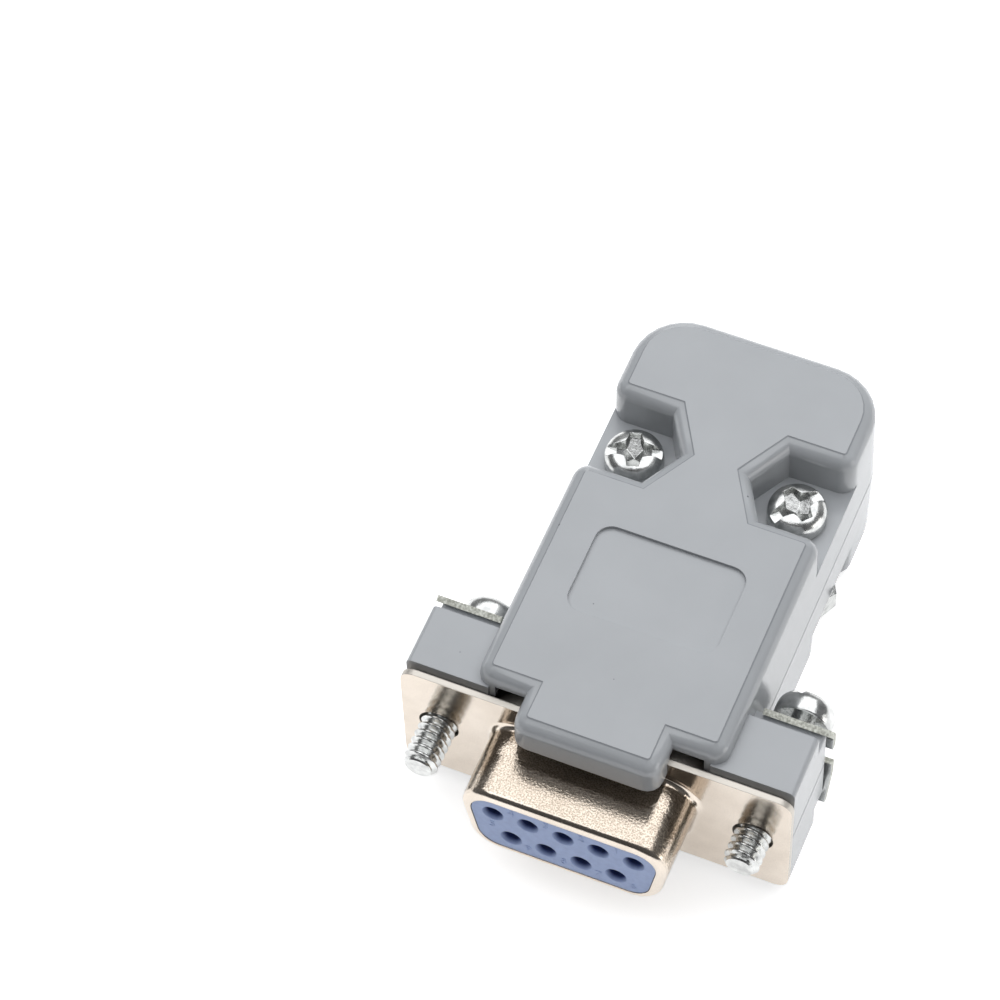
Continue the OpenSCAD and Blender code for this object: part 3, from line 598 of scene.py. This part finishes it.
def numeral(number, x, z):
    """One raised figure, centred at x and z on the face."""
    name = "numeral_%d" % number
    words = bpy.data.curves.new(name, "FONT")
    words.body = str(number)
    words.size = NUMERAL_SIZE * MM
    words.extrude = NUMERAL_RISE * MM
    words.align_x = "CENTER"
    words.align_y = "CENTER"
    words.resolution_u = 3
    sketch = bpy.data.objects.new(name + "_sketch", words)
    bpy.context.scene.collection.objects.link(sketch)
    mesh = bpy.data.meshes.new_from_object(sketch.evaluated_get(bpy.context.evaluated_depsgraph_get()))
    bpy.data.objects.remove(sketch)
    stand = Matrix.Rotation(math.radians(90), 4, "X")
    mesh.transform(Matrix.Translation((x * MM, insulator_face, z * MM)) @ stand)
    mesh.materials.clear()
    mesh.materials.append(BLUE)
    piece = bpy.data.objects.new(name, mesh)
    bpy.context.scene.collection.objects.link(piece)
    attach(piece, "hood")


for n in range(1, 10):
    if n <= 5:
        x, z = (3 - n) * CONTACT_PITCH, ROW_PITCH / 2
        beside = NUMERAL_FIVE if n == 5 else NUMERAL_UPPER
    else:
        x, z = (7.5 - n) * CONTACT_PITCH, -ROW_PITCH / 2
        beside = NUMERAL_LOWER
    numeral(n, x + beside[0], z + beside[1])


# Studio

def white_paper():
    """Seamless white paper: reads as white to the lens and in metal, and takes a soft shadow."""
    material, tree, place = begin("white_paper")
    fibre = add(tree, "ShaderNodeTexNoise", {"Scale": per_mm(3), "Detail": 3.0}, {"Vector": place})
    tone = add(tree, "ShaderNodeValToRGB", {"stops": [(0.3, "#F4F4F4"), (0.7, "#F7F7F7")]},
               {"Fac": fibre.outputs["Fac"]})
    plain = add(tree, "ShaderNodeBsdfDiffuse", None, {"Color": tone.outputs["Color"]})
    glow = add(tree, "ShaderNodeEmission", {"Color": srgb("#FFFFFF"), "Strength": 0.62})
    lit = add(tree, "ShaderNodeAddShader", None, {0: plain.outputs[0], 1: glow.outputs[0]})
    ray = add(tree, "ShaderNodeLightPath")
    mirror = add(tree, "ShaderNodeMath", {"operation": "MAXIMUM"},
                 {0: ray.outputs["Is Camera Ray"], 1: ray.outputs["Is Glossy Ray"]})
    seen = add(tree, "ShaderNodeMath", {"operation": "MAXIMUM"},
               {0: mirror.outputs[0], 1: ray.outputs["Is Transmission Ray"]})
    shown = add(tree, "ShaderNodeMixShader", None,
                {0: seen.outputs[0], 1: plain.outputs[0], 2: lit.outputs[0]})
    add(tree, "ShaderNodeOutputMaterial", None, {"Surface": shown.outputs[0]})
    return material


def lay_floor(reach):
    """Paper sheet just under the lower hood half, reach metres to each side."""
    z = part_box("lower_hood")[0][2] - FLOOR_GAP * MM
    mesh = bpy.data.meshes.new("floor")
    corners = [(-reach, -reach, z), (reach, -reach, z), (reach, reach, z), (-reach, reach, z)]
    mesh.from_pydata(corners, [], [(0, 1, 2, 3)])
    mesh.materials.append(white_paper())
    floor = bpy.data.objects.new("floor", mesh)
    bpy.context.scene.collection.objects.link(floor)


def room_light():
    """Dim room: darker on the lens side, paler behind the object."""
    world = bpy.data.worlds.new("studio_room")
    bpy.context.scene.world = world
    world.use_nodes = True
    tree = world.node_tree
    tree.nodes.clear()
    ways = add(tree, "ShaderNodeTexCoord").outputs["Generated"]
    rearward = add(tree, "ShaderNodeSeparateXYZ", None, {"Vector": ways}).outputs["Y"]
    share = add(tree, "ShaderNodeMapRange", {"From Min": -1.0, "From Max": 1.0}, {"Value": rearward})
    dome = add(tree, "ShaderNodeValToRGB",
               {"stops": [(0.0, "#4A4A4B"), (0.5, "#7C7C7D"), (0.78, "#88898A"), (1.0, "#C4C5C6")]},
               {"Fac": share.outputs["Result"]})
    ambient = add(tree, "ShaderNodeBackground", {"Strength": 0.9}, {"Color": dome.outputs["Color"]})
    add(tree, "ShaderNodeOutputWorld", None, {"Surface": ambient.outputs[0]})


def softbox(name, place, aim, width, height, power, colour):
    """A rectangular lamp turned towards a point, places and sizes in millimetres."""
    light = bpy.data.lights.new(name, "AREA")
    light.shape = "RECTANGLE"
    light.size, light.size_y = width * MM, height * MM
    light.energy = power
    light.color = srgb(colour)[:3]
    box = bpy.data.objects.new(name, light)
    bpy.context.scene.collection.objects.link(box)
    box.location = Vector(place) * MM
    box.rotation_euler = (Vector(aim) * MM - box.location).to_track_quat("-Z", "Y").to_euler()


def aim_camera(azimuth, elevation, roll, distance, target, focal_pixels):
    """Camera that looks at a target from an azimuth and elevation, as fitted to the photograph."""
    a, e, t = (math.radians(v) for v in (azimuth, elevation, roll))
    back = Vector((math.sin(a) * math.cos(e), -math.cos(a) * math.cos(e), math.sin(e)))
    right = Vector((math.cos(a), math.sin(a), 0.0))
    up = back.cross(right)
    across = right * math.cos(t) + up * math.sin(t)
    above = up * math.cos(t) - right * math.sin(t)
    lens = bpy.data.cameras.new("camera")
    lens.sensor_width = 36.0
    lens.lens = lens.sensor_width * focal_pixels / PHOTO_PIXELS
    lens.clip_start = 0.01
    camera = bpy.data.objects.new("camera", lens)
    bpy.context.scene.collection.objects.link(camera)
    turn = Matrix((across, above, back)).transposed().to_4x4()
    camera.matrix_world = Matrix.Translation((Vector(target) + back * distance) * MM) @ turn
    bpy.context.scene.camera = camera


lay_floor(reach=3.0)
room_light()
softbox("overhead", (-60, 140, 520), HOOD_MIDDLE, width=1000, height=800, power=4.5, colour="#FCFDFF")
softbox("right_side", (480, 40, 60), HOOD_MIDDLE, width=300, height=160, power=0.4, colour="#FFFDFA")
aim_camera(azimuth=25.23, elevation=57.53, roll=-2.89, distance=316.7, target=(-13.61, 15.0, 8.7),
           focal_pixels=4247)
bpy.context.scene.view_settings.view_transform = "Standard"
